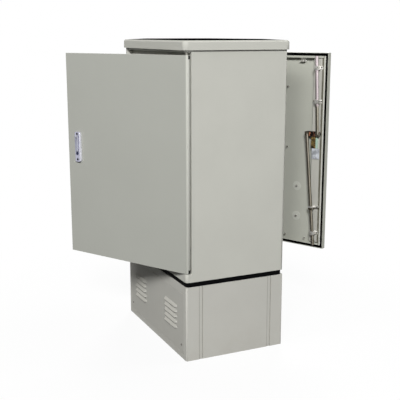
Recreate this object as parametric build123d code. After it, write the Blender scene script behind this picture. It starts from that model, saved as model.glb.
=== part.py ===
from build123d import *
import math
import os

os.makedirs("parts", exist_ok=True)

# Street cabinet with a front and a rear door, on a plinth, lengths in millimetres.
# The origin is the middle of the plinth's foot, Z is up and the front door looks along -Y.
# The cabinet repeats itself after half a turn about Z, so each door is described once,
# closed and at the front, and then turned into its place.

# Body
body_width = 750.0
body_depth = 504.0
sheet = 2.0
sill_height = 39.0
header_height = 11.0
jamb_width = 31.0
cut_overrun = 5.0

# Doors
door_height = 966.0
nose_radius = 13.0
door_gap = 3.0
door_top_gap = 12.0
hinge_gap = 3.5
edge_radius = 3.0
seal_groove_width = 13.5
seal_groove_depth = 17.0
hinge_flange = 14.5
rim_width = 9.5
gasket_thickness = 8.0
gasket_side_gap = 0.25
seat_clearance = 0.3
run_clearance = 0.05
front_open_angle = 29.8
rear_open_angle = 26.2

# Hinge pins
pin_radius = 4.0
pin_reach = 12.0
collar_radius = 6.5

# Plinth and seal
plinth_height = 353.0
plinth_radius = 8.0
plinth_sheet = 2.5
top_flange_width = 40.0
foot_flange_width = 64.0
foot_flange_thickness = 4.0
anchor_hole_radius = 7.0
anchor_inset = 40.0
groove_width = 16.0
groove_depth = 2.5
groove_inset = 66.0
panel_side_margin = 28.0
panel_top_margin = 39.0
panel_foot_margin = 26.0
panel_gap = 1.0
panel_seat_width = 40.0
plinth_screw_radius = 5.0
plinth_screw_height = 2.5
screw_side_inset = 54.0
screw_foot_inset = 38.0
seal_height = 23.0
seal_inset = 4.0
seal_width = 24.0
seal_radius = 20.0

# Louvres of the plinth panels
louvre_length = 143.0
louvre_height = 11.0
louvre_reach = 10.0
louvre_end_slope = 9.0
louvre_pitch = 25.7
louvre_count = 5
louvre_group_offset = 197.0
louvre_top_height = 240.0

# Roof
roof_overhang = 10.0
roof_height = 41.0
roof_edge_bevel = 7.0
skirt_lap = 3.0
roof_mat_thickness = 5.0
roof_mat_inset = 16.0
roof_mat_slope = 75.0
roof_rail_width = 40.0
roof_rail_offset = 150.0
roof_rail_margin = 60.0

# Handle on the outside of a door
lock_inset = 69.0
lock_height = 575.0
plate_width = 32.0
plate_length = 144.0
plate_thickness = 12.0
plate_radius = 8.0
plate_edge_bevel = 1.5
plate_top_reach = 21.0
plate_cutout_width = 22.0
plate_cutout_length = 106.0
plate_cutout_top_reach = 11.0
lever_width = 20.0
lever_tip_width = 16.0
lever_length = 74.0
lever_thickness = 8.0
lever_clearance = 0.4
lever_edge_bevel = 1.8
fork_width = 8.0
fork_clearance = 0.4
fork_reach = 9.0
pivot_radius = 2.0
spindle_radius = 6.0
barrel_radius = 7.0
barrel_drop = 82.0
barrel_reach = 3.0
barrel_seat_depth = 4.0
key_slot_width = 1.6
key_slot_length = 8.0
key_slot_depth = 1.5
handle_screw_radius = 4.5
handle_screw_depth = 2.5
handle_screw_fit = 0.2
handle_screw_offsets = (12.0, -111.0)

# Lock and rods on the inside of a door
channel_inset = 53.0
channel_width = 52.0
channel_height = 20.0
channel_flange = 6.0
channel_end_margin = 28.0
channel_cutout = 20.0
crank_radius = 30.0
cam_width = 24.0
cam_thickness = 4.0
cam_clearance = 0.4
cam_standoff = 6.0
lock_case_width = 36.0
lock_case_length = 56.0
lock_case_drop = 44.0
lock_case_inset = 63.0
lock_plate_width = 41.0
lock_plate_length = 52.0
lock_plate_thickness = 4.0
lock_plate_drop = 99.0
lock_plate_inset = 56.0
rod_radius = 7.5
rod_clearance = 0.4
rod_end_reach = 10.0
rod_end_thickness = 7.0
rod_tip_chamfer = 2.0
rod_tip_margin = 5.0
upper_tip_inset = 56.0
lower_tip_inset = 46.0
guide_length = 18.0
guide_strap = 2.5
guide_edge_margin = 1.5
guide_clearance = 0.3
upper_guide_heights = (733.0, 895.0)
lower_guide_heights = (77.0, 205.0)

# Small fittings on the inside of a door
ringed_stud_inset = 170.0
ringed_stud_heights = (143.0, 299.0)
plain_stud_inset = 234.0
plain_stud_heights = (35.0, 494.0, 797.0)
earth_stud_inset = 119.0
earth_stud_height = 33.0
nut_radius = 5.0
nut_reach = 10.0
stud_ring_radius = 24.0
stud_ring_thickness = 1.5
bracket_inset = 150.0
bracket_height = 935.0
bracket_width = 30.0
bracket_length = 26.0
bracket_reach = 18.0

# Fittings inside the body
entry_width = 480.0
entry_depth = 150.0
entry_lap = 12.0
entry_thickness = 8.0
entry_slit = 1.0
upright_offset = 290.0
upright_depth = 200.0
upright_flange = 27.0
module_count = 4
module_height = 150.0
module_pitch = 190.0
module_first_height = 190.0
module_depth = 80.0
module_side_gap = 6.0
module_panel_thickness = 2.0
module_wall = 2.5
port_row_length = 440.0
port_row_height = 22.0
port_row_reach = 12.0
port_row_pitch = 60.0
clamp_bar_height = 90.0
clamp_bar_leg = 40.0
clamp_bar_thickness = 3.0
earth_bar_height = 55.0
earth_bar_width = 25.0
earth_bar_thickness = 5.0

# Levels and planes that several pieces share
half_width = body_width / 2
half_depth = body_depth / 2
door_thickness = 2 * nose_radius
body_bottom = plinth_height + seal_height
sill_top = body_bottom + sill_height
door_bottom = sill_top + door_gap
door_top = door_bottom + door_height
header_bottom = door_top + door_top_gap
body_top = header_bottom + header_height
roof_bottom = body_top - skirt_lap
roof_top = roof_bottom + roof_height
floor_top = body_bottom + sheet
ceiling_bottom = body_top - sheet
front_plane = -half_depth
lip_plane = front_plane + door_thickness + hinge_gap
hinge_x = half_width - nose_radius
hinge_y = front_plane + nose_radius
free_x = -half_width + jamb_width + door_gap
skin_plane = front_plane + sheet
rim_plane = front_plane + door_thickness
groove_plane = rim_plane - seal_groove_depth
gasket_plane = groove_plane + gasket_thickness
seal_edge_inset = (seal_groove_width - sheet) / 2
lip_inset = 2 * sheet + seal_edge_inset
channel_plane = skin_plane + channel_height
cam_plane = channel_plane + cam_standoff
rod_plane = cam_plane + cam_thickness + rod_clearance + rod_radius
lock_x = free_x + lock_inset
lock_z = door_bottom + lock_height
plate_plane = front_plane - plate_thickness
pivot_plane = plate_plane - lever_clearance - lever_thickness / 2
upright_half_depth = upright_depth / 2
module_first_z = floor_top + module_first_height


def block(x_span, y_span, z_span):
    """A straight block between two limits along each axis."""
    spans = (x_span, y_span, z_span)
    sizes = [abs(high - low) for low, high in spans]
    middle = [(low + high) / 2 for low, high in spans]
    return Pos(*middle) * Box(*sizes)


def round_prism(width, depth, radius, z_span):
    """An upright block with rounded corners, centred on the Z axis."""
    low, high = z_span
    return Pos(0, 0, low) * extrude(RectangleRounded(width, depth, radius), high - low)


def disc(radius, x, z, y_span):
    """A cylinder that lies along Y."""
    low, high = y_span
    return Plane(origin=(x, low, z), z_dir=(0, 1, 0)) * extrude(Circle(radius), high - low)


def hexagon(radius, x, z, y_span):
    """A hexagon head or nut that lies along Y."""
    low, high = y_span
    return Plane(origin=(x, low, z), z_dir=(0, 1, 0)) * extrude(RegularPolygon(radius, 6), high - low)


def post(radius, x, y, z_span):
    """A cylinder that stands along Z."""
    low, high = z_span
    return Pos(x, y, low) * extrude(Circle(radius), high - low)


def half_turn(shape):
    """The same shape on the other side of the cabinet."""
    return Rot(0, 0, 180) * shape


def opened(shape, at_front):
    """A piece of a closed front door, moved to its own door and swung open."""
    angle = front_open_angle if at_front else rear_open_angle
    swung = Pos(hinge_x, hinge_y, 0) * Rot(0, 0, angle) * Pos(-hinge_x, -hinge_y, 0) * shape
    return swung if at_front else half_turn(swung)


def save(name, *solids):
    shape = solids[0] if len(solids) == 1 else Compound(children=list(solids))
    export_step(shape, f"parts/{name}.step")


def core(inset, z_span):
    """The body's plan, drawn in by an inset."""
    width = body_width - 2 * inset
    depth = body_depth - 2 * inset
    return round_prism(width, depth, nose_radius - inset, z_span)


def sharp_core(inset, z_span):
    """The body's plan with sharp corners, drawn in by an inset."""
    x = half_width - inset
    y = half_depth - inset
    return block((-x, x), (-y, y), z_span)


# Plinth

def louvre_heights():
    return [louvre_top_height - index * louvre_pitch for index in range(louvre_count)]


def louvre_places():
    return [(side * louvre_group_offset, z) for side in (-1, 1) for z in louvre_heights()]


def louvre_wedge(reach, height, length, back):
    """A wedge with slanting ends, its top edge at the level zero, that stands out of the panel."""
    outer = front_plane - reach
    inner = front_plane + back
    half = length / 2
    tip = half - louvre_end_slope
    slope = make_face(Polyline((inner, 0), (outer, -height), (inner, -height), close=True))
    plan = make_face(Polyline((-half, inner), (-tip, outer), (tip, outer), (half, inner), close=True))
    side = Plane(origin=(-half, 0, 0), x_dir=(0, 1, 0), z_dir=(1, 0, 0)) * slope
    return extrude(side, length) & Pos(0, 0, -height) * extrude(plan, height)


def panel_spans(margin):
    x_reach = half_width - panel_side_margin - margin
    return (-x_reach, x_reach), (panel_foot_margin + margin, plinth_height - panel_top_margin - margin)


def plinth_panel():
    """A panel with two groups of pressed hoods, shut above, open below and hollow behind."""
    x_span, z_span = panel_spans(panel_gap)
    panel = block(x_span, (front_plane, front_plane + plinth_sheet), z_span)
    hood = louvre_wedge(louvre_reach, louvre_height, louvre_length, 0)
    hollow = louvre_wedge(
        louvre_reach - plinth_sheet, louvre_height - plinth_sheet, louvre_length - 2 * plinth_sheet,
        plinth_sheet,
    )
    for x, z in louvre_places():
        panel += Pos(x, 0, z) * hood
        panel -= Pos(x, 0, z - plinth_sheet) * hollow
    return panel


def panel_screws():
    x = half_width - screw_side_inset
    z = panel_foot_margin + screw_foot_inset
    span = (front_plane - plinth_screw_height, front_plane)
    return [hexagon(plinth_screw_radius, side * x, z, span) for side in (-1, 1)]


def plinth_frame():
    z_span = (0, plinth_height)
    inner_width = body_width - 2 * plinth_sheet
    inner_depth = body_depth - 2 * plinth_sheet
    inner_radius = plinth_radius - plinth_sheet
    frame = round_prism(body_width, body_depth, plinth_radius, z_span)
    frame -= round_prism(
        inner_width, inner_depth, inner_radius, (foot_flange_thickness, plinth_height - plinth_sheet)
    )
    hole_z = (-cut_overrun, foot_flange_thickness + cut_overrun)
    top_hole_z = (plinth_height - plinth_sheet - cut_overrun, plinth_height + cut_overrun)
    frame -= sharp_core(foot_flange_width, hole_z)
    frame -= sharp_core(top_flange_width, top_hole_z)
    for turn in (0, 180):
        x_span, panel_z = panel_spans(0)
        y_back = front_plane + 2 * plinth_sheet
        opening = block(x_span, (front_plane - cut_overrun, front_plane + plinth_sheet), panel_z)
        seat_x, seat_z = panel_spans(-panel_gap - plinth_sheet)
        window_x, window_z = panel_spans(panel_seat_width)
        seat = block(seat_x, (front_plane + plinth_sheet, y_back), seat_z)
        window = block(window_x, (front_plane - cut_overrun, y_back + cut_overrun), window_z)
        frame = frame + Rot(0, 0, turn) * seat
        frame = frame - Rot(0, 0, turn) * opening
        frame = frame - Rot(0, 0, turn) * window
        for side in (-1, 1):
            y = side * (half_depth - groove_inset - groove_width / 2)
            y_span = (y - groove_width / 2, y + groove_width / 2)
            rib_y = (y_span[0] - plinth_sheet, y_span[1] + plinth_sheet)
            rib_x = (half_width - groove_depth - plinth_sheet, half_width - plinth_sheet)
            groove_x = (half_width - groove_depth, half_width + cut_overrun)
            groove_z = (-cut_overrun, plinth_height + cut_overrun)
            frame = frame + Rot(0, 0, turn) * block(rib_x, rib_y, z_span)
            frame = frame - Rot(0, 0, turn) * block(groove_x, y_span, groove_z)
    x = half_width - anchor_inset
    y = half_depth - anchor_inset
    for hole_x, hole_y in ((x, y), (x, -y), (-x, y), (-x, -y)):
        frame -= post(anchor_hole_radius, hole_x, hole_y, hole_z)
    return frame


def base_seal():
    width = body_width - 2 * seal_inset
    depth = body_depth - 2 * seal_inset
    z_span = (plinth_height, body_bottom)
    hole_span = (plinth_height - cut_overrun, body_bottom + cut_overrun)
    ring = round_prism(width, depth, seal_radius, z_span)
    return ring - sharp_core(seal_inset + seal_width, hole_span)


# Body

def body_shell():
    inside = core(sheet, (body_bottom - cut_overrun, body_top + cut_overrun))
    shell = core(0, (body_bottom, body_top)) - inside
    doorway = block(
        (-half_width + jamb_width, half_width + cut_overrun),
        (front_plane - cut_overrun, lip_plane),
        (sill_top, header_bottom),
    )
    return shell - doorway - half_turn(doorway)


def door_frame():
    """A folded ring: walls beside the door, a lip behind it and an edge that meets its gasket."""
    lip_back = lip_plane + sheet
    wall_x = -half_width + jamb_width
    ring = block(
        (wall_x - sheet, half_width), (front_plane + sheet, lip_back),
        (sill_top - sheet, header_bottom + sheet),
    )
    rebate = block(
        (wall_x, half_width + cut_overrun), (front_plane - cut_overrun, lip_plane),
        (sill_top, header_bottom),
    )
    window = inside_door_edge(seal_edge_inset + sheet, (front_plane - cut_overrun, lip_back + cut_overrun))
    folded = (ring - rebate - window) & core(sheet, (body_bottom, body_top))
    edge_y = (gasket_plane + seat_clearance, lip_plane)
    return folded + along_door_edge(seal_edge_inset, seal_edge_inset + sheet, edge_y)


def hinge_pins():
    """A pin at each end of the door, with a hexagon collar on which the door runs."""
    pins = []
    for base, seat, way in ((sill_top, door_bottom, 1), (header_bottom, door_top, -1)):
        collar_end = seat - way * seat_clearance
        pin_end = seat + way * pin_reach
        low, high = sorted((base, collar_end))
        collar = Pos(hinge_x, hinge_y, low) * extrude(RegularPolygon(collar_radius, 6), high - low)
        pins.append(collar + post(pin_radius, hinge_x, hinge_y, sorted((base, pin_end))))
    return pins


def floor_pan():
    hole = block(
        (-entry_width / 2, entry_width / 2), (-entry_depth / 2, entry_depth / 2),
        (body_bottom - cut_overrun, floor_top + cut_overrun),
    )
    return core(sheet, (body_bottom, floor_top)) - hole


def cable_entry_seals():
    """Two rubber bars that meet along a slit over the cable entry."""
    x_reach = entry_width / 2 + entry_lap
    y_reach = entry_depth / 2 + entry_lap
    z_span = (floor_top, floor_top + entry_thickness)
    bar = block((-x_reach, x_reach), (entry_slit / 2, y_reach), z_span)
    return [bar, half_turn(bar)]


def top_panel():
    return core(sheet, (ceiling_bottom, body_top))


def roof_cap():
    """A sheet cap with a bevelled edge, hollow below."""
    width = body_width + 2 * roof_overhang
    depth = body_depth + 2 * roof_overhang
    radius = nose_radius + roof_overhang
    cap = round_prism(width, depth, radius, (roof_bottom, roof_top))
    cap = chamfer(cap.faces().sort_by(Axis.Z)[-1].edges(), roof_edge_bevel)
    hollow = round_prism(
        width - 2 * sheet, depth - 2 * sheet, radius - sheet,
        (roof_bottom - cut_overrun, roof_top - sheet),
    )
    inner_edge = hollow.faces().sort_by(Axis.Z)[-1].edges()
    return cap - chamfer(inner_edge, roof_edge_bevel - sheet / 2)


def roof_mat():
    """A black skin on the roof that thins out towards its edges."""
    def ridge(half):
        crown = half - roof_mat_slope
        high = roof_mat_thickness
        section = make_face(Polyline((-half, 0), (half, 0), (crown, high), (-crown, high), close=True))
        return section, 2 * half
    across, width = ridge(half_width + roof_overhang - roof_mat_inset)
    along, depth = ridge(half_depth + roof_overhang - roof_mat_inset)
    front_view = Plane(origin=(0, 0, roof_top), x_dir=(1, 0, 0), z_dir=(0, -1, 0))
    side_view = Plane(origin=(0, 0, roof_top), x_dir=(0, 1, 0), z_dir=(1, 0, 0))
    lengthwise = extrude(front_view * across, depth / 2, both=True)
    return lengthwise & extrude(side_view * along, width / 2, both=True)


def roof_rails():
    """Two hat rails that carry the cap above the top panel."""
    low = body_top
    high = roof_top - sheet
    half = roof_rail_width / 2
    x_reach = half_width - roof_rail_margin
    section = Polyline(
        (-half, low), (-half + sheet, low), (-half + sheet, high - sheet), (half - sheet, high - sheet),
        (half - sheet, low), (half, low), (half, high), (-half, high), close=True,
    )
    plane = Plane(origin=(-x_reach, roof_rail_offset, 0), x_dir=(0, 1, 0), z_dir=(1, 0, 0))
    rail = extrude(plane * make_face(section), 2 * x_reach)
    return [rail, half_turn(rail)]


# Fittings inside the body

def rack_upright():
    x_web = upright_offset
    x_flange = upright_offset - upright_flange
    y = upright_half_depth
    section = Polyline(
        (x_flange, -y), (x_web, -y), (x_web, y), (x_flange, y), (x_flange, y - sheet),
        (x_web - sheet, y - sheet), (x_web - sheet, -y + sheet), (x_flange, -y + sheet), close=True,
    )
    return Pos(0, 0, floor_top) * extrude(make_face(section), ceiling_bottom - floor_top)


def splice_module(z):
    """A patch module: a panel on the rack's flanges, a case behind it and two rows of ports."""
    y_face = -upright_half_depth
    y_front = y_face - module_panel_thickness
    case_x = upright_offset - upright_flange - module_side_gap
    z_span = (z, z + module_height)
    case_z = (z + module_side_gap, z + module_height - module_side_gap)
    module = block((-upright_offset, upright_offset), (y_front, y_face), z_span)
    module += block((-case_x, case_x), (y_face, y_face + module_depth), case_z)
    inner_x = case_x - module_wall
    inner_z = (case_z[0] + module_wall, case_z[1] - module_wall)
    module -= block((-inner_x, inner_x), (y_face, y_face + module_depth - module_wall), inner_z)
    z_middle = z + module_height / 2
    half_length = port_row_length / 2
    half_height = port_row_height / 2
    for row in (-port_row_pitch / 2, port_row_pitch / 2):
        row_z = (z_middle + row - half_height, z_middle + row + half_height)
        module += block((-half_length, half_length), (y_front - port_row_reach, y_front), row_z)
    return module


def splice_modules():
    return [splice_module(module_first_z + index * module_pitch) for index in range(module_count)]


def clamp_bar():
    z = floor_top + clamp_bar_height
    y = -upright_half_depth
    t = clamp_bar_thickness
    section = Polyline(
        (y, z), (y - clamp_bar_leg, z), (y - clamp_bar_leg, z + t), (y - t, z + t),
        (y - t, z + clamp_bar_leg), (y, z + clamp_bar_leg), close=True,
    )
    plane = Plane(origin=(-upright_offset, 0, 0), x_dir=(0, 1, 0), z_dir=(1, 0, 0))
    return extrude(plane * make_face(section), 2 * upright_offset)


def earth_bar():
    x = upright_offset - sheet
    z = floor_top + earth_bar_height
    half = earth_bar_thickness / 2
    return block((-x, x), (-half, half), (z, z + earth_bar_width))


# Doors, described closed at the front

def door_plan(inset):
    """The door's plan with its round hinge edge, drawn in by an inset."""
    low = front_plane + inset
    high = rim_plane - inset
    left = free_x + inset
    corner = max(edge_radius - inset, sheet / 2)
    nose = nose_radius - inset
    diagonal = corner * (1 - math.sqrt(0.5))
    outline = Curve() + [
        Line((left + corner, low), (hinge_x, low)),
        ThreePointArc((hinge_x, low), (hinge_x + nose, hinge_y), (hinge_x, high)),
        Line((hinge_x, high), (left, high)),
        Line((left, high), (left, low + corner)),
        ThreePointArc((left, low + corner), (left + diagonal, low + diagonal), (left + corner, low)),
    ]
    return make_face(outline)


def inside_door_edge(inset, y_span):
    """A block within the door's edge flanges, drawn in by an inset."""
    return block(
        (free_x + sheet + inset, hinge_x - hinge_flange - inset), y_span,
        (door_bottom + sheet + inset, door_top - sheet - inset),
    )


def along_door_edge(outer, inner, y_span):
    """A frame along the door's edge flanges, between two insets from them."""
    low, high = y_span
    hole_y = (low - cut_overrun, high + cut_overrun)
    return inside_door_edge(outer, y_span) - inside_door_edge(inner, hole_y)


def door_panel():
    """A pan with a round hinge edge and, round its inside, a groove for the gasket."""
    panel = Pos(0, 0, door_bottom) * extrude(door_plan(0), door_height)
    panel -= Pos(0, 0, door_bottom + sheet) * extrude(door_plan(sheet), door_height - 2 * sheet)
    panel += along_door_edge(-sheet, seal_groove_width + sheet, (groove_plane - sheet, rim_plane))
    panel -= along_door_edge(0, seal_groove_width, (groove_plane, rim_plane + cut_overrun))
    panel -= inside_door_edge(seal_groove_width + rim_width, (groove_plane, rim_plane + cut_overrun))
    panel -= handle_cutout((front_plane - cut_overrun, skin_plane + cut_overrun))
    return panel - post(
        pin_radius + run_clearance, hinge_x, hinge_y, (door_bottom - cut_overrun, door_top + cut_overrun)
    )


def handle_cutout(y_span):
    """The hole under the handle's plate, through which the lock works."""
    high = lock_z + plate_cutout_top_reach
    half = plate_cutout_width / 2
    return block((lock_x - half, lock_x + half), y_span, (high - plate_cutout_length, high))


def door_gasket():
    return along_door_edge(
        gasket_side_gap, seal_groove_width - gasket_side_gap, (groove_plane, gasket_plane)
    )


def lock_channel():
    """A hat section down the lock side, cut out round the lock's spindle."""
    x = free_x + channel_inset
    half = channel_width / 2
    foot = half + channel_flange
    low = skin_plane
    high = channel_plane
    section = Polyline(
        (x - foot, low), (x - half + sheet, low), (x - half + sheet, high - sheet),
        (x + half - sheet, high - sheet), (x + half - sheet, low), (x + foot, low),
        (x + foot, low + sheet), (x + half, low + sheet), (x + half, high), (x - half, high),
        (x - half, low + sheet), (x - foot, low + sheet), close=True,
    )
    z_low = door_bottom + channel_end_margin
    z_high = door_top - channel_end_margin
    channel = Pos(0, 0, z_low) * extrude(make_face(section), z_high - z_low)
    reach = channel_cutout / 2
    return channel - block(
        (lock_x - reach, lock_x + reach), (high - sheet - cut_overrun, high + cut_overrun),
        (lock_z - reach, lock_z + reach),
    )


def handle_plate():
    z_high = lock_z + plate_top_reach
    plan = Pos(lock_x, z_high - plate_length / 2) * RectangleRounded(plate_width, plate_length, plate_radius)
    plane = Plane(origin=(0, front_plane, 0), x_dir=(1, 0, 0), z_dir=(0, -1, 0))
    plate = extrude(plane * plan, plate_thickness)
    plate = chamfer(plate.faces().sort_by(Axis.Y)[0].edges(), plate_edge_bevel)
    through = (plate_plane - cut_overrun, front_plane + cut_overrun)
    plate -= disc(spindle_radius + run_clearance, lock_x, lock_z, through)
    seat = (plate_plane - cut_overrun, plate_plane + barrel_seat_depth)
    plate -= disc(barrel_radius + run_clearance, lock_x, lock_z - barrel_drop, seat)
    bore = (plate_plane - cut_overrun, plate_plane + handle_screw_depth)
    for offset in handle_screw_offsets:
        plate -= hexagon(handle_screw_radius + handle_screw_fit, lock_x, lock_z + offset, bore)
    return plate


def handle_spindle():
    """The turning shaft, with a tongue outside that carries the lever on a cross pin."""
    spindle = disc(spindle_radius, lock_x, lock_z, (plate_plane, cam_plane))
    half = fork_width / 2
    outer = pivot_plane - lever_thickness / 2
    spindle += block((lock_x - half, lock_x + half), (outer, plate_plane), (lock_z - half, lock_z + half))
    pin_half = lever_width / 2
    plane = Plane(origin=(lock_x - pin_half, pivot_plane, lock_z), z_dir=(1, 0, 0))
    return spindle + plane * extrude(Circle(pivot_radius), 2 * pin_half)


def handle_lever():
    """A lever forked over the spindle's tongue, tapering to a round tip."""
    top_half = lever_width / 2
    tip_half = lever_tip_width / 2
    tip_z = lock_z - lever_length
    end_radius = lever_thickness / 2
    top_left = (lock_x - top_half, lock_z)
    top_right = (lock_x + top_half, lock_z)
    tip_left = (lock_x - tip_half, tip_z + tip_half)
    tip_right = (lock_x + tip_half, tip_z + tip_half)
    outline = Curve() + [
        Line(top_left, tip_left),
        ThreePointArc(tip_left, (lock_x, tip_z), tip_right),
        Line(tip_right, top_right),
        Line(top_right, top_left),
    ]
    back = pivot_plane + end_radius
    plane = Plane(origin=(0, back, 0), x_dir=(1, 0, 0), z_dir=(0, -1, 0))
    lever = extrude(plane * make_face(outline), lever_thickness)
    lever = chamfer(lever.faces().sort_by(Axis.Y)[0].edges().sort_by(Axis.Z)[:-1], lever_edge_bevel)
    knuckle = Plane(origin=(lock_x - top_half, pivot_plane, lock_z), z_dir=(1, 0, 0))
    lever += knuckle * extrude(Circle(end_radius), lever_width)
    half = fork_width / 2 + fork_clearance
    lever -= block(
        (lock_x - half, lock_x + half), (back + cut_overrun, back - lever_thickness - cut_overrun),
        (lock_z - fork_reach, lock_z + fork_reach),
    )
    bore = Plane(origin=(lock_x - top_half - cut_overrun, pivot_plane, lock_z), z_dir=(1, 0, 0))
    return lever - bore * extrude(Circle(pivot_radius + run_clearance), lever_width + 2 * cut_overrun)


def lock_barrel():
    z = lock_z - barrel_drop
    outer = plate_plane - barrel_reach
    barrel = disc(barrel_radius, lock_x, z, (outer, plate_plane + barrel_seat_depth))
    half_slot = key_slot_width / 2
    half_length = key_slot_length / 2
    slot = block(
        (lock_x - half_slot, lock_x + half_slot), (outer - cut_overrun, outer + key_slot_depth),
        (z - half_length, z + half_length),
    )
    return barrel - slot


def handle_screws():
    span = (plate_plane, plate_plane + handle_screw_depth)
    return [hexagon(handle_screw_radius, lock_x, lock_z + offset, span) for offset in handle_screw_offsets]


def lock_cam():
    plan = Pos(lock_x, lock_z) * SlotCenterToCenter(2 * crank_radius, cam_width)
    plane = Plane(origin=(0, cam_plane + cam_thickness, 0), x_dir=(1, 0, 0), z_dir=(0, -1, 0))
    return extrude(plane * plan, cam_thickness)


def lock_case():
    x = free_x + lock_case_inset
    half = lock_case_width / 2
    middle = lock_z - lock_case_drop
    reach = lock_case_length / 2
    return block(
        (x - half, x + half), (channel_plane, cam_plane - cam_clearance),
        (middle - reach, middle + reach),
    )


def lock_plate():
    x = free_x + lock_plate_inset
    half = lock_plate_width / 2
    reach = lock_plate_length / 2
    middle = lock_z - lock_plate_drop
    return block(
        (x - half, x + half), (channel_plane, channel_plane + lock_plate_thickness),
        (middle - reach, middle + reach),
    )


def rod_ends(upper):
    """Where a rod starts over the cam and where its tip lies when drawn in."""
    if upper:
        start = Vector(lock_x - crank_radius, rod_plane, lock_z)
        tip = Vector(free_x + upper_tip_inset, rod_plane, door_top - lip_inset - rod_tip_margin)
    else:
        start = Vector(lock_x + crank_radius, rod_plane, lock_z)
        tip = Vector(free_x + lower_tip_inset, rod_plane, door_bottom + lip_inset + rod_tip_margin)
    return start, tip


def lock_rod(upper):
    """A round rod with a bevelled tip and, over the cam, a flattened end."""
    start, tip = rod_ends(upper)
    way = tip - start
    rod = extrude(Plane(origin=start, z_dir=way) * Circle(rod_radius), way.length)
    end = rod.faces().sort_by_distance(tip)[0]
    rod = chamfer(end.edges(), rod_tip_chamfer)
    half = rod_end_thickness / 2
    return rod + block(
        (start.X - rod_end_reach, start.X + rod_end_reach), (rod_plane - half, rod_plane + half),
        (start.Z - rod_end_reach, start.Z + rod_end_reach),
    )


def rod_guide(upper, height):
    """A strap across the channel, with a hump under which a rod runs."""
    low, high = sorted(rod_ends(upper), key=lambda end: end.Z)
    way = high - low
    share = (door_bottom + height - low.Z) / way.Z
    middle = low + way * share
    slot = rod_radius + guide_clearance
    hump = slot + guide_strap
    foot = channel_plane - rod_plane
    top = foot + guide_strap
    offset = free_x + channel_inset - middle.X
    reach = channel_width / 2 - guide_edge_margin
    section = Polyline(
        (offset - reach, foot), (-slot, foot), (-slot, slot), (slot, slot), (slot, foot),
        (offset + reach, foot), (offset + reach, top), (hump, top), (hump, hump), (-hump, hump),
        (-hump, top), (offset - reach, top), close=True,
    )
    across = Vector(0, 1, 0).cross(way)
    plane = Plane(origin=middle, x_dir=across, z_dir=way)
    return extrude(plane * make_face(section), guide_length / 2, both=True)


def rod_guides():
    guides = [rod_guide(True, height) for height in upper_guide_heights]
    return guides + [rod_guide(False, height) for height in lower_guide_heights]


def stud(inset, height, ringed):
    x = free_x + inset
    z = door_bottom + height
    nut = hexagon(nut_radius, x, z, (skin_plane, skin_plane + nut_reach))
    if not ringed:
        return nut
    return nut + disc(stud_ring_radius, x, z, (skin_plane, skin_plane + stud_ring_thickness))


def door_studs():
    studs = [stud(ringed_stud_inset, height, True) for height in ringed_stud_heights]
    studs += [stud(plain_stud_inset, height, False) for height in plain_stud_heights]
    return studs + [stud(earth_stud_inset, earth_stud_height, False)]


def stay_bracket():
    """An angle on the door's skin that takes the hook of a door stay."""
    x = free_x + bracket_inset
    half = bracket_width / 2
    z_low = door_bottom + bracket_height - bracket_length / 2
    z_high = z_low + bracket_length
    section = Polyline(
        (skin_plane, z_low), (skin_plane + bracket_reach, z_low),
        (skin_plane + bracket_reach, z_low + sheet), (skin_plane + sheet, z_low + sheet),
        (skin_plane + sheet, z_high), (skin_plane, z_high), close=True,
    )
    plane = Plane(origin=(x - half, 0, 0), x_dir=(0, 1, 0), z_dir=(1, 0, 0))
    return extrude(plane * make_face(section), bracket_width)


DOOR_PIECES = {
    "door_panel": lambda: [door_panel()],
    "door_gasket": lambda: [door_gasket()],
    "lock_channel": lambda: [lock_channel()],
    "lock_case": lambda: [lock_case()],
    "lock_plate": lambda: [lock_plate()],
    "lock_cam": lambda: [lock_cam()],
    "handle_plate": lambda: [handle_plate()],
    "handle_spindle": lambda: [handle_spindle()],
    "handle_lever": lambda: [handle_lever()],
    "lock_barrel": lambda: [lock_barrel()],
    "handle_screw": handle_screws,
    "upper_rod": lambda: [lock_rod(True)],
    "lower_rod": lambda: [lock_rod(False)],
    "rod_guides": rod_guides,
    "door_studs": door_studs,
    "stay_bracket": lambda: [stay_bracket()],
}

# Pieces that the front and the rear have alike, apart from the doors.
PAIRED_PIECES = {
    "plinth_panel": lambda: [plinth_panel()],
    "door_frame": lambda: [door_frame()],
    "hinge_pins": hinge_pins,
    "splice_modules": splice_modules,
    "clamp_bar": lambda: [clamp_bar()],
}

for piece, make in DOOR_PIECES.items():
    solids = make()
    save(f"front_{piece}", *[opened(solid, True) for solid in solids])
    save(f"rear_{piece}", *[opened(solid, False) for solid in solids])

for piece, make in PAIRED_PIECES.items():
    solids = make()
    save(f"front_{piece}", *solids)
    save(f"rear_{piece}", *[half_turn(solid) for solid in solids])

save("plinth_frame", plinth_frame())
save("plinth_screws", *panel_screws(), *[half_turn(screw) for screw in panel_screws()])
save("base_seal", base_seal())
save("body_shell", body_shell())
save("floor_pan", floor_pan())
save("cable_entry_seals", *cable_entry_seals())
save("top_panel", top_panel())
save("roof_cap", roof_cap())
save("roof_mat", roof_mat())
save("roof_rails", *roof_rails())
save("right_rack_upright", rack_upright())
save("left_rack_upright", half_turn(rack_upright()))
save("earth_bar", earth_bar())
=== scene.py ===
import math

import bmesh
import bpy
from mathutils import Matrix, Vector


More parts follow.
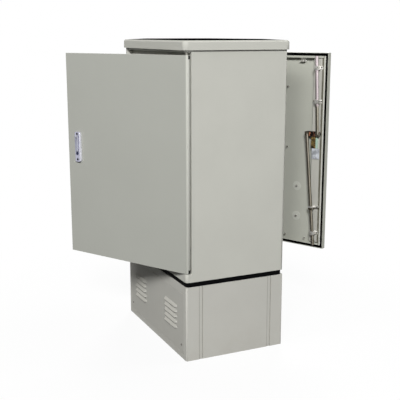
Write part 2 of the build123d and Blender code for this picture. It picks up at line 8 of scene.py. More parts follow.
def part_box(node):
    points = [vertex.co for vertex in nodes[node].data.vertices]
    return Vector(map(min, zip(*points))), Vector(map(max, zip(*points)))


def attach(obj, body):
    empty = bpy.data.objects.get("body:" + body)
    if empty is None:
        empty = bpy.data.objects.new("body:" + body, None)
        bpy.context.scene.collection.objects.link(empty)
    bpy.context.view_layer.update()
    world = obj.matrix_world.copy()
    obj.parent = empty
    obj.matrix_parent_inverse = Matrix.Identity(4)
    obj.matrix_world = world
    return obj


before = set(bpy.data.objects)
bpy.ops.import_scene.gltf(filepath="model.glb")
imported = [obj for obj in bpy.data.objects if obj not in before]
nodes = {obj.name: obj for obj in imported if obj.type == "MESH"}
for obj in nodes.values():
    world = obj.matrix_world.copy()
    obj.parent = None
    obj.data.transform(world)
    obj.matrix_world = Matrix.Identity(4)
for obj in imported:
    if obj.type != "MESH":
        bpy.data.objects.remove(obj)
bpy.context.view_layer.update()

# Sizes are in metres, angles in degrees and shades in screen levels from 0 to 255

# The camera, with its lens and sensor in millimetres
CAMERA_PLACE = (3.3987, -1.5887, 1.4723)
CAMERA_AZIMUTH = 65.07
CAMERA_DIP = 12.16
CAMERA_LENS = 69.4
CAMERA_SENSOR = 36.0
CAMERA_REACH = 60.0

# Each lamp's place, width and power, and the light of the white surroundings
LAMPS = {
    "camera_side_lamp": ((10.2, -4.8, 6.9), 1.9, 1365.0),
    "front_side_lamp": ((8.6, -7.4, 8.0), 2.6, 475.0),
    "front_lamp": ((1.2, -9.4, 7.2), 3.4, 290.0),
    "far_side_lamp": ((-7.0, 4.6, 5.2), 3.0, 570.0),
    "rear_lamp": ((1.5, 9.0, 5.8), 4.3, 330.0),
}
LAMP_TARGET = (0.0, 0.0, 0.8)
AMBIENT = 0.03
WHITE = (1.0, 1.0, 1.0, 1.0)

# The ground: what it throws back, what it shows, and the shadow that it keeps near the cabinet
GROUND_HALF = 14.0
GROUND_BOUNCE = 0.10
GROUND_PALE = 0.80
SHADOW_SHARE = 0.10
SHADOW_FADE = (0.6, 1.8)

# The doors as they stand open; the front hinge's axis and the closed front door's skin, seen from above
OPEN_ANGLES = {"front": 29.8, "rear": 26.2}
SIDE_SIGNS = {"front": 1, "rear": -1}
HINGE = (0.362, -0.239)
SKIN_DEPTH = -0.250

# Distances along a door from its hinges
LOCK_GREEN_REACH = 0.648
FOLD_SHADE_REACHES = (0.667, 0.670)
RIM_REACHES = (0.677, 0.6822)
GROOVE_REACHES = (0.687, 0.7018)
GROOVE_SLACK = 0.001

# Distances from a door's skin, and heights over the ground
STUD_RING_TOPS = (0.0017, 0.0020)
GROOVE_WALL_TOP = 0.0195
ROD_JOIN_HEIGHTS = (1.12, 1.14)
DARK_STRAP_HEIGHTS = (0.600, 0.6235)
DUST_TOP = 0.22

# The plinth's pressed grooves, the modules' ports and the handle's screws
GROOVE_EDGES = (0.170, 0.186)
GROOVE_SHADE_REACHES = (0.0006, 0.0022)
PORT_ROW_REACH = 0.011
PORT_PITCH = 0.055
PORT_GAP = 0.019
HANDLE_SCREW_RADIUS = 0.0045
SCREW_SHADE_REACHES = (0.0052, 0.0068)

# Strap screws: where they stand on the closed front door, and a head's radii and heights
STRAP_FOOT_DEPTH = -0.2275
STRAP_SCREWS = [
    (-0.309, 1.151), (-0.274, 1.151), (-0.305, 1.313), (-0.2705, 1.313),
    (-0.300, 0.623), (-0.306, 0.495), (-0.271, 0.495),
]
SCREW_PROFILE = [(0.0032, 0.0), (0.0032, 0.0009), (0.0026, 0.0017), (0.0015, 0.0020), (0.0013, 0.0011)]
SCREW_SIDES = 16

# Rounding of edges
SHEET_EDGE = 0.0007
TRIM_EDGE = 0.0006
BAR_EDGE = 0.0005
FITTING_EDGE = 0.0004
CASE_EDGE = 0.0008
GASKET_EDGE = 0.0015
SEAL_EDGE = 0.001
SHARP_ANGLE = 40
WELD_REACH = 0.00001

# Shades of paint, of what has settled on it, and of painted light and shade
CABINET_SHADE = (192, 192, 184)
PLINTH_SHADE = (190, 189, 182)
# Painted shade: the plinth's front panels carry a darker copy of the plinth's paint
PLINTH_PANEL_PAINTED_SHADE = (184, 183, 176)
INNER_SHADE = (178, 178, 170)
# Painted light: the lock channel carries a lighter copy of the doors' paint
CHANNEL_PAINTED_LIGHT_SHADE = (186, 185, 177)
# Painted shade: the doors' paint is a darker copy of the cabinet's paint
DOOR_PAINTED_SHADE = (178, 179, 169)
# Painted highlight on a door's nose, where it faces the hinges
DOOR_NOSE_HIGHLIGHT_SHADE = (188, 189, 181)
# Painted shade: a door's outer face is painted darker than the rest of its paint
DOOR_OUTER_PAINTED_SHADES = ((160, 161, 154), (166, 167, 160))
# Painted highlight on the outer part of a door's rim
DOOR_RIM_HIGHLIGHT_SHADE = (208, 208, 200)
STUD_RING_SHADES = ((186, 187, 178), (191, 192, 183))
# Black painted on the walls of a door's gasket groove
GROOVE_WALL_SHADE = (6, 6, 7)
DUST_SHADE = (150, 140, 122)
LEDGE_DUST_SHADE = (140, 134, 120)
# Painted shade along the plinth's groove edges
GROOVE_EDGE_PAINTED_SHADE = (96, 92, 82)
# Painted shade on the inner part of a door's rim
RIM_PAINTED_SHADE = (84, 80, 62)
# Painted shade along the lock channel's fold
FOLD_PAINTED_SHADE = (70, 66, 46)
# Darker shade for the one strap between two heights
DARK_STRAP_SHADE = (72, 64, 44)
ROD_DULL_SHADE = (120, 112, 96)
# Painted shade on the rods' flanks
ROD_OLIVE_PAINTED_SHADE = (72, 68, 50)
ROD_BROWN_PAINTED_SHADE = (44, 38, 28)
# Painted shade in the recesses around the handle's screws
SCREW_PAINTED_SHADE = (22, 22, 28)

# Shades of metal, rubber and plastic, with a painted highlight for the handle's flank, painted glints for
# the lock cam and a painted dark reflection for the roof mat
GASKET_SHADE = (4, 4, 4)
SEAL_SHADE = (6, 6, 7)
# Painted dark reflection: the roof mat is black where the roof's top would reflect dark surroundings
ROOF_MAT_REFLECTION_SHADE = (4, 4, 5)
ZINC_SHADE = (198, 199, 204)
SPANGLE_SHADE = (232, 232, 236)
STRAP_SHADES = ((240, 239, 236), (176, 172, 160))
NUT_SHADES = ((176, 175, 168), (84, 82, 74))
UPPER_ROD_SHADES = ((226, 212, 216), (196, 190, 172))
LOWER_ROD_SHADES = ((176, 168, 152), (176, 168, 152))
HANDLE_SHADE = (172, 172, 190)
LEVER_SHADE = (150, 152, 168)
LOCK_PLATE_SHADE = (236, 240, 248)
# Painted highlight on the flank of a casting that faces the hinges
FLANK_HIGHLIGHT_SHADE = (228, 228, 238)
LOCK_BROWN_SHADES = ((40, 32, 18), (146, 122, 70))
LOCK_GREEN_SHADES = ((166, 196, 178), (190, 214, 200))
# Painted copper glints on the dark lock cam
CAM_GLINT_SHADES = ((24, 18, 16), (206, 140, 108))
SCREW_SHADES = ((16, 16, 18), (34, 31, 29))
HINGE_PIN_SHADES = ((128, 127, 120), (104, 100, 92))
PLINTH_SCREW_SHADES = ((112, 110, 104), (92, 88, 80))
BARREL_SHADES = ((14, 20, 48), (36, 46, 88))
MODULE_SHADES = ((196, 198, 192), (206, 208, 203))
PORT_SHADES = ((20, 78, 92), (26, 92, 104))
COPPER_SHADES = ((196, 120, 78), (222, 150, 104))
TARNISH_SHADE = (122, 74, 50)

# Scale and height of the paint's orange peel, and heights of the other fine grains
PEEL_SCALE = 620.0
PEEL_HEIGHT = 0.00010
RUBBER_GRAIN_HEIGHT = 0.00012
METAL_GRAIN_HEIGHT = 0.00008
BARREL_SCRATCH_HEIGHT = 0.00005
COPPER_STREAK_HEIGHT = 0.00006


def tint(red, green, blue):
    """A colour given as it looks on a screen, 0 to 255, as Blender's linear colour."""
    def linear(value):
        share = value / 255
        return share / 12.92 if share <= 0.04045 else ((share + 0.055) / 1.055) ** 2.4
    return (linear(red), linear(green), linear(blue), 1.0)


def shaded(shade, share):
    """A shade made lighter or darker."""
    return tint(*[min(share * level, 255) for level in shade])


class Field:
    """A socket of a node tree; sums and products on it add Math nodes."""

    def __init__(self, socket):
        self.socket = socket

    def _math(self, operation, first, second):
        tree = self.socket.id_data
        node = tree.nodes.new("ShaderNodeMath")
        node.operation = operation
        for slot, value in zip(node.inputs, (first, second)):
            plug(tree, slot, value)
        return Field(node.outputs[0])

    def __add__(self, other):
        return self._math("ADD", self, other)

    def __radd__(self, other):
        return self._math("ADD", other, self)

    def __sub__(self, other):
        return self._math("SUBTRACT", self, other)

    def __rsub__(self, other):
        return self._math("SUBTRACT", other, self)

    def __mul__(self, other):
        return self._math("MULTIPLY", self, other)

    def __rmul__(self, other):
        return self._math("MULTIPLY", other, self)

    def __gt__(self, other):
        return self._math("GREATER_THAN", self, other)

    def __lt__(self, other):
        return self._math("LESS_THAN", self, other)

    def __abs__(self):
        return self._math("ABSOLUTE", self, 0)

    def highest(self, other):
        return self._math("MAXIMUM", self, other)

    def lowest(self, other):
        return self._math("MINIMUM", self, other)

    def folded(self, step):
        """The distance to the nearest even multiple of a step."""
        return self._math("PINGPONG", self, step)


def plug(tree, socket, value):
    """Links a field to a socket, or sets the socket to a plain value."""
    if isinstance(value, Field):
        tree.links.new(value.socket, socket)
    else:
        socket.default_value = value


class Look:
    """The node tree of a material or of the world."""

    def __init__(self, owner):
        owner.use_nodes = True
        self.owner = owner
        self.tree = owner.node_tree
        self.tree.nodes.clear()

    def node(self, kind, settings=None, sockets=None, out=0):
        """Any node: its type, its settings, then its sockets' values or links."""
        made = self.tree.nodes.new(kind)
        for name, value in (settings or {}).items():
            setattr(made, name, value)
        for name, value in (sockets or {}).items():
            plug(self.tree, made.inputs[name], value)
        return Field(made.outputs[out]) if made.outputs else None

    def place(self):
        """The point of the surface in the frame, with the cabinet at rest."""
        return self.node("ShaderNodeTexCoord", out="Object")

    def parts_of(self, vector):
        split = self.node("ShaderNodeSeparateXYZ", None, {"Vector": vector})
        return [Field(socket) for socket in split.socket.node.outputs]

    def along(self, vector, way):
        """How far a vector reaches in a direction."""
        return self.node("ShaderNodeVectorMath", {"operation": "DOT_PRODUCT"}, {0: vector, 1: way}, "Value")

    def away(self, vector, centre):
        """How far a point lies from a centre."""
        return self.node("ShaderNodeVectorMath", {"operation": "DISTANCE"}, {0: vector, 1: centre}, "Value")

    def facing(self, way):
        """How far the surface faces a direction of the frame, from -1 to 1."""
        return self.along(self.node("ShaderNodeTexCoord", out="Normal"), way)

    def stretched(self, vector, scale):
        return self.node("ShaderNodeVectorMath", {"operation": "MULTIPLY"}, {0: vector, 1: scale})

    def noise(self, vector, scale, detail=3.0, roughness=0.5):
        sockets = {"Vector": vector, "Scale": scale, "Detail": detail, "Roughness": roughness}
        return self.node("ShaderNodeTexNoise", None, sockets)

    def ramp(self, value, low, high):
        """Zero below low, one above high and a smooth step between them."""
        settings = {"interpolation_type": "SMOOTHSTEP"}
        return self.node("ShaderNodeMapRange", settings, {"Value": value, "From Min": low, "From Max": high})

    def blend(self, share, first, second):
        """A colour between two colours."""
        return self.node("ShaderNodeMix", {"data_type": "RGBA"}, {0: share, 6: first, 7: second}, 2)

    def between(self, share, shades):
        """A colour between two shades."""
        first, second = shades
        return self.blend(share, tint(*first), tint(*second))

    def bump(self, height, distance):
        sockets = {"Height": height, "Distance": distance, "Strength": 0.5}
        return self.node("ShaderNodeBump", None, sockets, "Normal")


def new_look(name):
    return Look(bpy.data.materials.new(name))


def finish(look, colour, roughness, metallic, normal, specular=0.5):
    """Ends a material in a Principled shader and returns the material."""
    sockets = {
        "Base Color": colour, "Roughness": roughness, "Metallic": metallic, "Normal": normal,
        "Specular IOR Level": specular,
    }
    shader = look.node("ShaderNodeBsdfPrincipled", None, sockets)
    look.node("ShaderNodeOutputMaterial", None, {"Surface": shader})
    return look.owner


# Places on a door

def hinge_way(side):
    """The direction from a door's free edge to its hinges, as the door stands open."""
    turn = math.radians(OPEN_ANGLES[side])
    sign = SIDE_SIGNS[side]
    return (sign * math.cos(turn), sign * math.sin(turn), 0)


def inner_way(side):
    """The direction from a door's skin into the cabinet, as the door stands open."""
    along, across, _ = hinge_way(side)
    return (-across, along, 0)


def from_hinge(look, place, side):
    """How far a point lies along a door from its hinges."""
    way = -Vector(hinge_way(side))
    return look.along(place, way) - SIDE_SIGNS[side] * way.dot(Vector((*HINGE, 0)))


def depth_over_skin(look, place, side):
    """How far a point lies inside a door's skin."""
    way = Vector(inner_way(side))
    skin = SIDE_SIGNS[side] * way.dot(Vector((*HINGE, 0))) + SKIN_DEPTH - HINGE[1]
    return look.along(place, way) - skin


# Paint

def powder_coat(name, shade, mark=None):
    """Satin powder coat: fine orange peel, a faint cloudiness and a little dust low down."""
    look = new_look(name)
    place = look.place()
    _, _, height = look.parts_of(place)
    cloud = look.noise(place, 3.0, 4.0, 0.6)
    peel = look.noise(place, PEEL_SCALE, 2.0)
    speck = look.noise(place, 170.0, 4.0, 0.7)
    colour = look.blend(look.ramp(cloud, 0.25, 0.75), shaded(shade, 0.975), tint(*shade))
    colour = look.blend(look.ramp(speck, 0.63, 0.78) * 0.05, colour, shaded(shade, 0.86))
    dust = (1 - look.ramp(height, 0.0, DUST_TOP)) * look.ramp(look.noise(place, 9.0, 5.0, 0.65), 0.35, 0.75)
    colour = look.blend(dust * 0.10, colour, tint(*DUST_SHADE))
    if mark:
        colour = mark(look, place, colour)
    roughness = 0.44 + 0.10 * cloud + 0.06 * peel
    return finish(look, colour, roughness, 0.0, look.bump(peel, PEEL_HEIGHT), 0.05)


def door_marks(side):
    """A door's painted shade on its outer face and painted highlight on its nose, the painted shade and
    highlight on its rim, and the black on its groove's walls.
    """
    def mark(look, place, colour):
        # Painted highlight on the nose that faces the hinges
        nose_highlight = look.ramp(look.facing(hinge_way(side)), 0.15, 0.45)
        colour = look.blend(nose_highlight, colour, tint(*DOOR_NOSE_HIGHLIGHT_SHADE))
        # Painted shade on the door's outer face
        shaded_outside = 1 - look.ramp(look.facing(inner_way(side)), -0.98, -0.90)
        cloud = look.noise(place, 3.0, 4.0, 0.6)
        colour = look.blend(shaded_outside, colour, look.between(cloud, DOOR_OUTER_PAINTED_SHADES))
        colour = rim_painted_light(look, place, colour, side)
        return look.blend(black_groove_walls(look, place, side), colour, tint(*GROOVE_WALL_SHADE))
    return mark


def rim_painted_light(look, place, colour, side):
    """Painted shade and a painted highlight along the rim between a door's lock channel and its gasket."""
    reach = from_hinge(look, place, side)
    on_rim = (reach < GROOVE_REACHES[0] + GROOVE_SLACK) * (depth_over_skin(look, place, side) > GROOVE_WALL_TOP)
    colour = look.blend(on_rim * (reach > RIM_REACHES[0]) * 0.7, colour, tint(*RIM_PAINTED_SHADE))
    return look.blend(on_rim * (reach > RIM_REACHES[1]), colour, tint(*DOOR_RIM_HIGHLIGHT_SHADE))


def black_groove_walls(look, place, side):
    """One on the side walls of a door's gasket groove, along its top, bottom and free edge, below a set
    depth over the skin, where the walls are painted black.
    """
    _, _, height = look.parts_of(place)
    reach = from_hinge(look, place, side)
    low, high = [corner.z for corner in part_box(f"{side}_door_gasket")]
    inside = (reach < GROOVE_REACHES[1]) * (height > low - GROOVE_SLACK) * (height < high + GROOVE_SLACK)
    width = GROOVE_REACHES[1] - GROOVE_REACHES[0]
    ends = (height > high - width).highest(height < low + width)
    along = ends.highest(reach > GROOVE_REACHES[0])
    wall = abs(look.facing(inner_way(side))) < 0.5
    return inside * along * wall * (depth_over_skin(look, place, side) < GROOVE_WALL_TOP)


def groove_shade_and_ledge_dust(look, place, colour):
    """Painted shade along the edges of the plinth's pressed grooves, and dust on what faces up."""
    _, depth, _ = look.parts_of(place)
    # Painted shade lines along the groove edges on the side faces
    near = [abs(abs(depth) - edge) for edge in GROOVE_EDGES]
    edge_shade = 1 - look.ramp(near[0].lowest(near[1]), *GROOVE_SHADE_REACHES)
    sideways = look.ramp(abs(look.facing((1, 0, 0))), 0.9, 1.0)
    colour = look.blend(edge_shade * sideways * 0.62, colour, tint(*GROOVE_EDGE_PAINTED_SHADE))
    settled = look.ramp(look.facing((0, 0, 1)), 0.2, 0.7)
    return look.blend(settled * 0.08, colour, tint(*LEDGE_DUST_SHADE))


def fold_shade(side):
    """A line of painted shade along the fold of the lock channel that lies towards the door's free edge."""
    def mark(look, place, colour):
        streak = look.noise(look.stretched(place, (60.0, 60.0, 4.0)), 6.0, 4.0, 0.6)
        line = look.ramp(from_hinge(look, place, side), *FOLD_SHADE_REACHES) * look.ramp(streak, 0.25, 0.50)
        on_top = look.facing(inner_way(side)) > 0.7
        return look.blend(line * on_top * 0.85, colour, tint(*FOLD_PAINTED_SHADE))
    return mark


def stud_finish(name, side):
    """Nuts of bright zinc on pressed rings that carry the door's paint."""
    look = new_look(name)
    place = look.place()
    patch = look.noise(place, 160.0, 3.0, 0.6)
    peel = look.noise(place, PEEL_SCALE, 2.0)
    nut = look.ramp(depth_over_skin(look, place, side), *STUD_RING_TOPS)
    zinc = look.between(look.ramp(patch, 0.4, 0.6), NUT_SHADES)
    colour = look.blend(nut, look.between(patch, STUD_RING_SHADES), zinc)
    return finish(look, colour, 0.46 + 0.10 * patch, 0.0, look.bump(peel, PEEL_HEIGHT), 0.08)


def lock_case_paint(name, side):
    """The lock's dark brown case, with its pale green flank towards the door's free edge."""
    look = new_look(name)
    place = look.place()
    warm_patches = look.noise(place, 55.0, 5.0, 0.65)
    brown = look.between(look.ramp(warm_patches, 0.40, 0.66), LOCK_BROWN_SHADES)
    green = look.between(warm_patches, LOCK_GREEN_SHADES)
    colour = look.blend(from_hinge(look, place, side) > LOCK_GREEN_REACH, brown, green)
    return finish(look, colour, 0.35 + 0.25 * warm_patches, 0.2, look.bump(warm_patches, PEEL_HEIGHT), 0.4)


# Metal, rubber and plastic

def black_grained(name, shade, gloss, specular):
    """A black grained finish with a faint grey bloom: rubber on the seals and gasket, and a painted dark
    reflection on the roof mat.
    """
    look = new_look(name)
    place = look.place()
    grain = look.noise(place, 420.0, 3.0, 0.6)
    bloom = look.noise(place, 14.0, 4.0, 0.6)
    colour = look.blend(look.ramp(bloom, 0.45, 0.8) * 0.35, tint(*shade), shaded(shade, 1.9))
    return finish(look, colour, gloss + 0.16 * grain, 0.0, look.bump(grain, RUBBER_GRAIN_HEIGHT), specular)


def plated_steel(name, shade):
    """Zinc plating over drawn bar: streaks along it and a mottled spangle."""
    look = new_look(name)
    place = look.place()
    streak = look.noise(look.stretched(place, (40.0, 40.0, 3.0)), 14.0, 4.0, 0.6)
    spangle = look.node("ShaderNodeTexVoronoi", None, {"Vector": place, "Scale": 240.0})
    colour = look.blend(look.ramp(streak, 0.3, 0.75), shaded(shade, 0.80), tint(*shade))
    colour = look.blend(look.ramp(spangle, 0.1, 0.7) * 0.18, colour, tint(*SPANGLE_SHADE))
    return finish(look, colour, 0.26 + 0.22 * streak, 0.85, look.bump(streak, METAL_GRAIN_HEIGHT))


def rod_plating(name, side, shades, flank_share, olive_share):
    """A plated rod with painted shade on its flanks: brown towards the hinges, olive on all but its face
    turned into the cabinet, stronger below the join.
    """
    look = new_look(name)
    place = look.place()
    _, _, height = look.parts_of(place)
    streak = look.noise(look.stretched(place, (60.0, 60.0, 3.0)), 9.0, 4.0, 0.6)
    wander = 0.25 * streak
    brown = look.ramp(look.facing(hinge_way(side)) + wander, -0.58, -0.34)
    olive = 1 - look.ramp(look.facing(inner_way(side)) + wander, 0.56, 0.88)
    below = 1 - look.ramp(height, *ROD_JOIN_HEIGHTS)
    bare = look.between(below, shades)
    darkening = flank_share + (1 - flank_share) * below
    colour = look.blend(look.ramp(streak, 0.55, 0.8) * 0.35, bare, tint(*ROD_DULL_SHADE))
    # Painted shade on the rod's flanks
    colour = look.blend(olive * darkening * olive_share, colour, tint(*ROD_OLIVE_PAINTED_SHADE))
    colour = look.blend(brown * darkening * 0.92, colour, tint(*ROD_BROWN_PAINTED_SHADE))
    return finish(look, colour, 0.34 + 0.20 * streak, 0.15, look.bump(streak, METAL_GRAIN_HEIGHT))


def strap_zinc(name):
    """Bright zinc of the small pressed fittings, with dull patches; the lone strap between two heights is
    darker in patches.
    """
    look = new_look(name)
    place = look.place()
    _, _, height = look.parts_of(place)
    patch = look.noise(place, 95.0, 4.0, 0.65)
    grain = look.noise(place, 600.0, 2.0)
    colour = look.between(look.ramp(patch, 0.42, 0.68), STRAP_SHADES)
    low, high = DARK_STRAP_HEIGHTS
    darkening = (height > low) * (height < high)
    colour = look.blend(darkening * look.ramp(patch, 0.30, 0.50), colour, tint(*DARK_STRAP_SHADE))
    return finish(look, colour, 0.30 + 0.22 * patch, 0.80, look.bump(grain, METAL_GRAIN_HEIGHT))


def die_cast(name, shade, side, mottle_share, highlight_share):
    """Satin zinc casting, a little lilac, with a sandy skin; its flank to the hinges carries a painted
    highlight.
    """
    look = new_look(name)
    place = look.place()
    sand = look.noise(place, 900.0, 3.0, 0.6)
    cloud = look.noise(place, 45.0, 3.0, 0.6)
    colour = look.blend(look.ramp(cloud, 0.3, 0.7), shaded(shade, mottle_share), tint(*shade))
    # Painted highlight on the flank that faces the hinges
    flank_highlight = look.ramp(look.facing(hinge_way(side)), 0.45, 0.75) * highlight_share
    colour = look.blend(flank_highlight, colour, tint(*FLANK_HIGHLIGHT_SHADE))
    # Painted shade around the handle's screws
    colour = look.blend(screw_painted_shade(look, place, side), colour, tint(*SCREW_PAINTED_SHADE))
    return finish(look, colour, 0.34 + 0.14 * sand, 0.30, look.bump(sand, METAL_GRAIN_HEIGHT))


def screw_painted_shade(look, place, side):
    """One on the handle's casting close around its two screws, where painted shade darkens the recess."""
    low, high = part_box(f"{side}_handle_screw")
    middle = (low + high) / 2
    spots = []
    for height in (low.z + HANDLE_SCREW_RADIUS, high.z - HANDLE_SCREW_RADIUS):
        away = look.away(place, (middle.x, middle.y, height))
        spots.append(1 - look.ramp(away, *SCREW_SHADE_REACHES))
    return spots[0].highest(spots[1])


def patched_metal(name, shades, metallic=0.5, specular=0.3):
    """Dark steel with warmer patches: oil on the screws and pins, and painted copper glints on the lock cam.
    """
    look = new_look(name)
    place = look.place()
    warm_patches = look.noise(place, 70.0, 5.0, 0.65)
    grain = look.noise(place, 520.0, 2.0)
    colour = look.between(look.ramp(warm_patches, 0.50, 0.68), shades)
    return finish(look, colour, 0.32 + 0.25 * warm_patches, metallic, look.bump(grain, METAL_GRAIN_HEIGHT), specular)


def barrel_metal(name):
    """The blue key barrel, with fine scratches across it."""
    look = new_look(name)
    scratch = look.noise(look.stretched(look.place(), (6.0, 6.0, 60.0)), 30.0, 4.0)
    colour = look.between(look.ramp(scratch, 0.35, 0.8), BARREL_SHADES)
    return finish(look, colour, 0.25 + 0.2 * scratch, 0.4, look.bump(scratch, BARREL_SCRATCH_HEIGHT))


def module_plastic(name):
    """Pale moulded cases; what stands in front of the rack's plane is a row of blue-green ports."""
    look = new_look(name)
    place = look.place()
    across, depth, _ = look.parts_of(place)
    low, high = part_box("front_splice_modules")
    row = abs(depth) > max(abs(low[1]), abs(high[1])) - PORT_ROW_REACH
    port = row * (across.folded(PORT_PITCH / 2) > PORT_GAP / 2)
    spark = look.noise(place, 700.0, 2.0)
    cloud = look.noise(place, 12.0, 3.0)
    colour = look.blend(port, look.between(cloud, MODULE_SHADES), look.between(cloud, PORT_SHADES))
    return finish(look, colour, 0.46 + 0.12 * spark, 0.0, look.bump(spark, PEEL_HEIGHT))


def copper_bar(name):
    """Copper drawn along its length, with tarnish in patches."""
    look = new_look(name)
    place = look.place()
    streak = look.noise(look.stretched(place, (3.0, 40.0, 40.0)), 12.0, 4.0)
    tarnish = look.noise(place, 22.0, 5.0, 0.6)
    bright = look.between(streak, COPPER_SHADES)
    colour = look.blend(look.ramp(tarnish, 0.5, 0.8) * 0.6, bright, tint(*TARNISH_SHADE))
    return finish(look, colour, 0.28 + 0.25 * tarnish, 0.9, look.bump(streak, COPPER_STREAK_HEIGHT))


# The cabinet's pieces

def dress(names, material, edge):
    """Gives CAD nodes a finish and a small rounding of their edges."""
    for name in names:
        piece = nodes[name]
        piece.data.materials.clear()
        piece.data.materials.append(material)
        for face in piece.data.polygons:
            face.material_index = 0
        weld = piece.modifiers.new("joined_faces", "WELD")
        weld.merge_threshold = WELD_REACH
        bevel = piece.modifiers.new("soft_edges", "BEVEL")
        bevel.width = edge
        bevel.segments = 2
        bevel.limit_method = "ANGLE"
        bevel.angle_limit = math.radians(SHARP_ANGLE)
        bevel.harden_normals = True


def both(*names):
    """The front and the rear node of each name."""
    return [f"{side}_{name}" for side in OPEN_ANGLES for name in names]


def dress_body():
    """Plinth, body and roof, with their seals, screws and hinge pins."""
    paint = powder_coat("cabinet_powder_coat", CABINET_SHADE)
    dress(["body_shell"], paint, SHEET_EDGE)
    dress(["roof_cap"] + both("door_frame"), paint, TRIM_EDGE)
    dress(["plinth_frame"], powder_coat("plinth_powder_coat", PLINTH_SHADE, groove_shade_and_ledge_dust), SHEET_EDGE)
    # The front panels' paint is a darker copy of the plinth's, which is painted shade
    panel_paint = powder_coat("plinth_panel_powder_coat", PLINTH_PANEL_PAINTED_SHADE, groove_shade_and_ledge_dust)
    dress(both("plinth_panel"), panel_paint, TRIM_EDGE)
    dress(["plinth_screws"], patched_metal("plinth_screw_steel", PLINTH_SCREW_SHADES), FITTING_EDGE)
    dress(both("hinge_pins"), patched_metal("hinge_pin_steel", HINGE_PIN_SHADES), FITTING_EDGE)
    seal = black_grained("base_seal_rubber", SEAL_SHADE, 0.8, 0.04)
    dress(["base_seal", "cable_entry_seals"], seal, SEAL_EDGE)
    # The roof mat's black is a painted dark reflection of the roof's top
    dress(["roof_mat"], black_grained("roof_mat_painted_reflection", ROOF_MAT_REFLECTION_SHADE, 0.9, 0.0), BAR_EDGE)


def dress_inside():
    """Rack, modules and bars, and the panels over and under them; the spindles share the rack's zinc."""
    inner_paint = powder_coat("inner_powder_coat", INNER_SHADE)
    dress(["floor_pan", "top_panel", "roof_rails"], inner_paint, BAR_EDGE)
    zinc = plated_steel("zinc_plated_steel", ZINC_SHADE)
    dress(["left_rack_upright", "right_rack_upright"] + both("clamp_bar", "handle_spindle"), zinc, BAR_EDGE)
    dress(both("splice_modules"), module_plastic("splice_module_plastic"), TRIM_EDGE)
    dress(["earth_bar"], copper_bar("earth_bar_copper"), TRIM_EDGE)


def dress_doors():
    """What the two doors have alike, then what depends on the way that each looks."""
    gasket = black_grained("door_gasket_rubber", GASKET_SHADE, 0.8, 0.01)
    dress(both("door_gasket"), gasket, GASKET_EDGE)
    dress(both("rod_guides", "stay_bracket"), strap_zinc("strap_bright_zinc"), FITTING_EDGE)
    # The cam's copper patches are painted glints
    dress(both("lock_cam"), patched_metal("lock_cam_painted_glints", CAM_GLINT_SHADES), CASE_EDGE)
    dress(both("lock_barrel"), barrel_metal("lock_barrel_blue"), FITTING_EDGE)
    screw_black = patched_metal("screw_black_steel", SCREW_SHADES, 0.0, 0.1)
    dress(both("handle_screw"), screw_black, BAR_EDGE)
    for side in OPEN_ANGLES:
        # The doors' paint is a darker copy of the cabinet's paint, which is painted shade
        door_paint = powder_coat(f"{side}_door_powder_coat", DOOR_PAINTED_SHADE, door_marks(side))
        dress([f"{side}_door_panel"], door_paint, SHEET_EDGE)
        # The channel's paint is a lighter copy of the doors' paint, which is painted light
        channel_paint = powder_coat(f"{side}_channel_powder_coat", CHANNEL_PAINTED_LIGHT_SHADE, fold_shade(side))
        dress([f"{side}_lock_channel"], channel_paint, SHEET_EDGE)
        upper = rod_plating(f"{side}_upper_rod_plating", side, UPPER_ROD_SHADES, 0.62, 0.4)
        dress([f"{side}_upper_rod"], upper, FITTING_EDGE)
        lower = rod_plating(f"{side}_lower_rod_plating", side, LOWER_ROD_SHADES, 1.0, 0.95)
        dress([f"{side}_lower_rod"], lower, FITTING_EDGE)
        dress([f"{side}_lock_case"], lock_case_paint(f"{side}_lock_case_paint", side), CASE_EDGE)
        dress([f"{side}_door_studs"], stud_finish(f"{side}_stud_finish", side), FITTING_EDGE)
        handle = die_cast(f"{side}_handle_die_cast", HANDLE_SHADE, side, 0.92, 1.0)
        dress([f"{side}_handle_plate"], handle, FITTING_EDGE)
        lever = die_cast(f"{side}_lever_die_cast", LEVER_SHADE, side, 0.90, 0.30)
        dress([f"{side}_handle_lever"], lever, FITTING_EDGE)
        plate = die_cast(f"{side}_lock_plate_die_cast", LOCK_PLATE_SHADE, side, 0.66, 0.0)
        dress([f"{side}_lock_plate"], plate, FITTING_EDGE)
        add_strap_screws(side, screw_black)


def add_strap_screws(side, material):
    """Pan-head screws, each with a round socket, in the feet of the rod guides."""
    form = bmesh.new()
    turns = [2 * math.pi * step / SCREW_SIDES for step in range(SCREW_SIDES)]
    for x, height in STRAP_SCREWS:
        rings = []
        for radius, reach in SCREW_PROFILE:
            ring = []
            for turn in turns:
                across, up = radius * math.sin(turn), radius * math.cos(turn)
                ring.append(form.verts.new((x + across, STRAP_FOOT_DEPTH + reach, height + up)))
            rings.append(ring)
        for inner, outer in zip(rings, rings[1:]):
            for step in range(SCREW_SIDES):
                after = (step + 1) % SCREW_SIDES
                form.faces.new((inner[step], inner[after], outer[after], outer[step]))
        form.faces.new(rings[0][::-1])
        form.faces.new(rings[-1])
    hinge = Vector((*HINGE, 0))
    swing = Matrix.Rotation(math.radians(OPEN_ANGLES[side]), 4, "Z")
    form.transform(Matrix.Translation(hinge) @ swing @ Matrix.Translation(-hinge))
    if side == "rear":
        form.transform(Matrix.Rotation(math.pi, 4, "Z"))
    bmesh.ops.recalc_face_normals(form, faces=form.faces)
    mesh = bpy.data.meshes.new(f"{side}_strap_screws")
    form.to_mesh(mesh)
    form.free()
    mesh.materials.append(material)
    screws = bpy.data.objects.new(f"{side}_strap_screws", mesh)
    bpy.context.scene.collection.objects.link(screws)
    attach(screws, f"{side}_door")


# Camera, light and ground

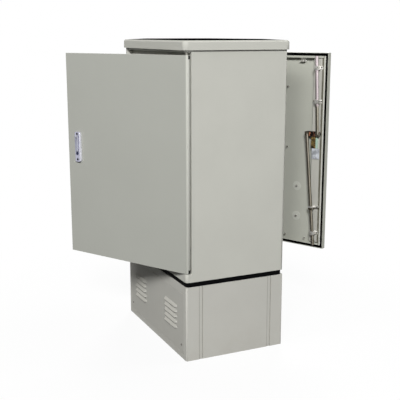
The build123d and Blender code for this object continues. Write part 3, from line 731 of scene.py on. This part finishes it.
def set_camera():
    camera = bpy.data.objects.new("camera", bpy.data.cameras.new("camera"))
    bpy.context.scene.collection.objects.link(camera)
    camera.data.sensor_width = CAMERA_SENSOR
    camera.data.lens = CAMERA_LENS
    camera.data.clip_end = CAMERA_REACH
    turn = math.radians(CAMERA_AZIMUTH)
    dip = math.radians(CAMERA_DIP)
    way = Vector((-math.sin(turn) * math.cos(dip), math.cos(turn) * math.cos(dip), -math.sin(dip)))
    camera.location = CAMERA_PLACE
    camera.rotation_euler = way.to_track_quat("-Z", "Y").to_euler()
    bpy.context.scene.camera = camera


def light_studio():
    """Soft square lamps, all turned to the middle of the cabinet."""
    for name, (place, size, power) in LAMPS.items():
        lamp = bpy.data.objects.new(name, bpy.data.lights.new(name, "AREA"))
        bpy.context.scene.collection.objects.link(lamp)
        lamp.data.size = size
        lamp.data.energy = power
        lamp.location = place
        lamp.rotation_euler = (Vector(LAMP_TARGET) - Vector(place)).to_track_quat("-Z", "Y").to_euler()


def seen_straight(look):
    """One for what the camera, a reflection or a glass sees, zero for diffuse light."""
    rays = look.node("ShaderNodeLightPath").socket.node.outputs
    camera, glossy, clear = [Field(rays[f"Is {kind} Ray"]) for kind in ("Camera", "Glossy", "Transmission")]
    return camera.highest(glossy).highest(clear)


def set_world():
    """White surroundings that add only a little light of their own."""
    world = bpy.data.worlds.new("studio")
    bpy.context.scene.world = world
    look = Look(world)
    lit = look.node("ShaderNodeBackground", None, {"Color": WHITE, "Strength": AMBIENT})
    white = look.node("ShaderNodeBackground", None, {"Color": WHITE, "Strength": 1.0})
    mixed = look.node("ShaderNodeMixShader", None, {0: seen_straight(look), 1: lit, 2: white})
    look.node("ShaderNodeOutputWorld", None, {"Surface": mixed})


def add_ground():
    """A flat pale ground that turns white away from the cabinet's shadow."""
    mesh = bpy.data.meshes.new("ground")
    corners = [(-1, -1), (1, -1), (1, 1), (-1, 1)]
    mesh.from_pydata([(GROUND_HALF * x, GROUND_HALF * y, 0.0) for x, y in corners], [], [(0, 1, 2, 3)])
    ground = bpy.data.objects.new("ground", mesh)
    bpy.context.scene.collection.objects.link(ground)
    look = new_look("ground_white")
    away = look.away(look.place(), (0, 0, 0))
    seen = seen_straight(look)
    pale = look.blend(seen, (GROUND_BOUNCE,) * 3 + (1.0,), (GROUND_PALE,) * 3 + (1.0,))
    matte = look.node("ShaderNodeBsdfDiffuse", None, {"Color": pale})
    white = look.node("ShaderNodeEmission", None, {"Color": WHITE, "Strength": 1.0})
    kept = SHADOW_SHARE * (1 - look.ramp(away, *SHADOW_FADE))
    shown = look.node("ShaderNodeMixShader", None, {0: seen * (1 - kept), 1: matte, 2: white})
    look.node("ShaderNodeOutputMaterial", None, {"Surface": shown})
    mesh.materials.append(look.owner)


set_camera()
set_world()
add_ground()
light_studio()
dress_body()
dress_inside()
dress_doors()

bpy.context.scene.view_settings.view_transform = "Standard"
